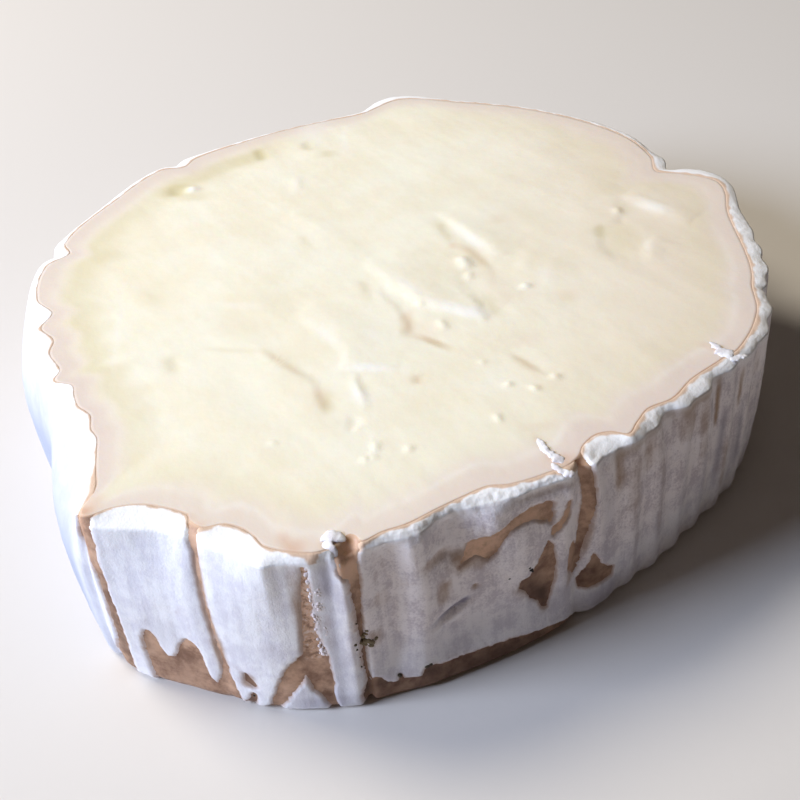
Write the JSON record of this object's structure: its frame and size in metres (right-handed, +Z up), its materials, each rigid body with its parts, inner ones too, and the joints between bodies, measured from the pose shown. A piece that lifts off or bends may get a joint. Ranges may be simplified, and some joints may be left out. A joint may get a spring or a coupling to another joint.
{
  "type": "goat cheese log slice",
  "caption": "Thick round slice of a soft goat cheese log with a creased white bloomy rind, cut face up, lying flat on its other cut face.",
  "frame": {"origin": "middle of the underside's bounding box, on the surface that the slice lies on", "axes": "+Z up along the axis of the log, out of the cut face; -Y towards the side with the deep creases and the bare patches; +X to the right of that side"},
  "size_m": [0.098, 0.1034, 0.0247],
  "materials": {
    "goat_paste": null,
    "bloomy_rind": null
  },
  "bodies": {
    "root": {"cheese_log": "goat_paste"}
  },
  "joints": []
}
